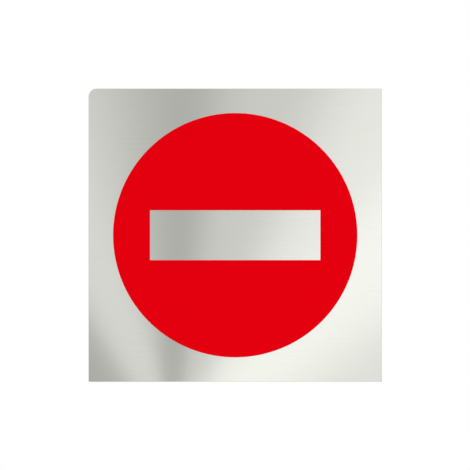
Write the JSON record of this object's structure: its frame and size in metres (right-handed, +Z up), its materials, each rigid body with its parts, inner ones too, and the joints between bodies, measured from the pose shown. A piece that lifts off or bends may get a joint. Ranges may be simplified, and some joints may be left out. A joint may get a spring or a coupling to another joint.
{
  "type": "no entry sign",
  "caption": "Square brushed steel sign plate with one rounded corner, a red film disc whose window leaves a bare steel bar, and double-sided tape that sticks it to a wall or a door.",
  "frame": {"origin": "middle of the sign on the wall that it is stuck to, which is the outer face of the tape", "axes": "-Y is the way the sign faces, +Y goes into the wall, +Z is up, and +X is to the right for someone who reads the sign"},
  "size_m": [0.12, 0.0021, 0.12],
  "materials": {
    "steel": "stainless steel, brushed from side to side, with a laser-cut and deburred edge",
    "red_film": "flat signal red self-adhesive vinyl film, cut on a plotter",
    "tape": "grey acrylic mounting tape with a dull, tacky face and cut edges"
  },
  "bodies": {
    "root": {"plate": "steel", "red_disc": "red_film", "tape_strip_left": "tape", "tape_strip_middle": "tape", "tape_strip_right": "tape"}
  },
  "joints": []
}
